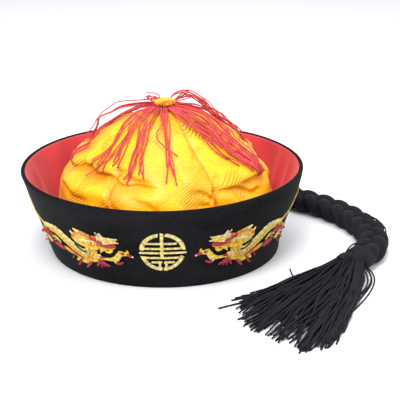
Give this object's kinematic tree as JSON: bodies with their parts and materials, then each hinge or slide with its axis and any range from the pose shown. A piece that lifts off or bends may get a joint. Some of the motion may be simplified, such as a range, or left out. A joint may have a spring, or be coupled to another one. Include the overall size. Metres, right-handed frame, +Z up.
{
  "type": "mandarin hat with braided queue",
  "caption": "Soft domed crown of satin gores inside an upturned velvet band with raised embroidery, a knob with loose threads on top and a plaited queue with a tassel.",
  "frame": {"origin": "on the table, under the middle of the band's rim", "axes": "+Z up, -Y towards the front with the roundel, +X towards the side where the queue lies"},
  "size_m": [0.3068, 0.34, 0.1278],
  "materials": {
    "black_velvet": "short pile, matt",
    "red_cloth": "plain weave, matt",
    "yellow_satin": "satin brocade, silky",
    "red_thread": "twisted thread, silky",
    "gold_thread": "pale gold stitches, shiny",
    "orange_gold_thread": "gold, orange and red stitches, shiny",
    "black_cord": "bundles of black yarn, slightly silky"
  },
  "bodies": {
    "root": {"brim_shell": "black_velvet", "brim_lining": "red_cloth", "crown_gore_1": "yellow_satin", "crown_gore_2": "yellow_satin", "crown_gore_3": "yellow_satin", "crown_gore_4": "yellow_satin", "crown_gore_5": "yellow_satin", "crown_gore_6": "yellow_satin", "crown_button": "yellow_satin", "crown_tassel": "red_thread", "medallion": "gold_thread", "dragon_right": "orange_gold_thread", "dragon_left": "orange_gold_thread", "braid_root_wrap": "black_cord", "braid_strand_1": "black_cord", "braid_strand_2": "black_cord", "braid_strand_3": "black_cord", "braid_tie": "black_cord", "queue_tassel": "black_cord"}
  },
  "joints": []
}
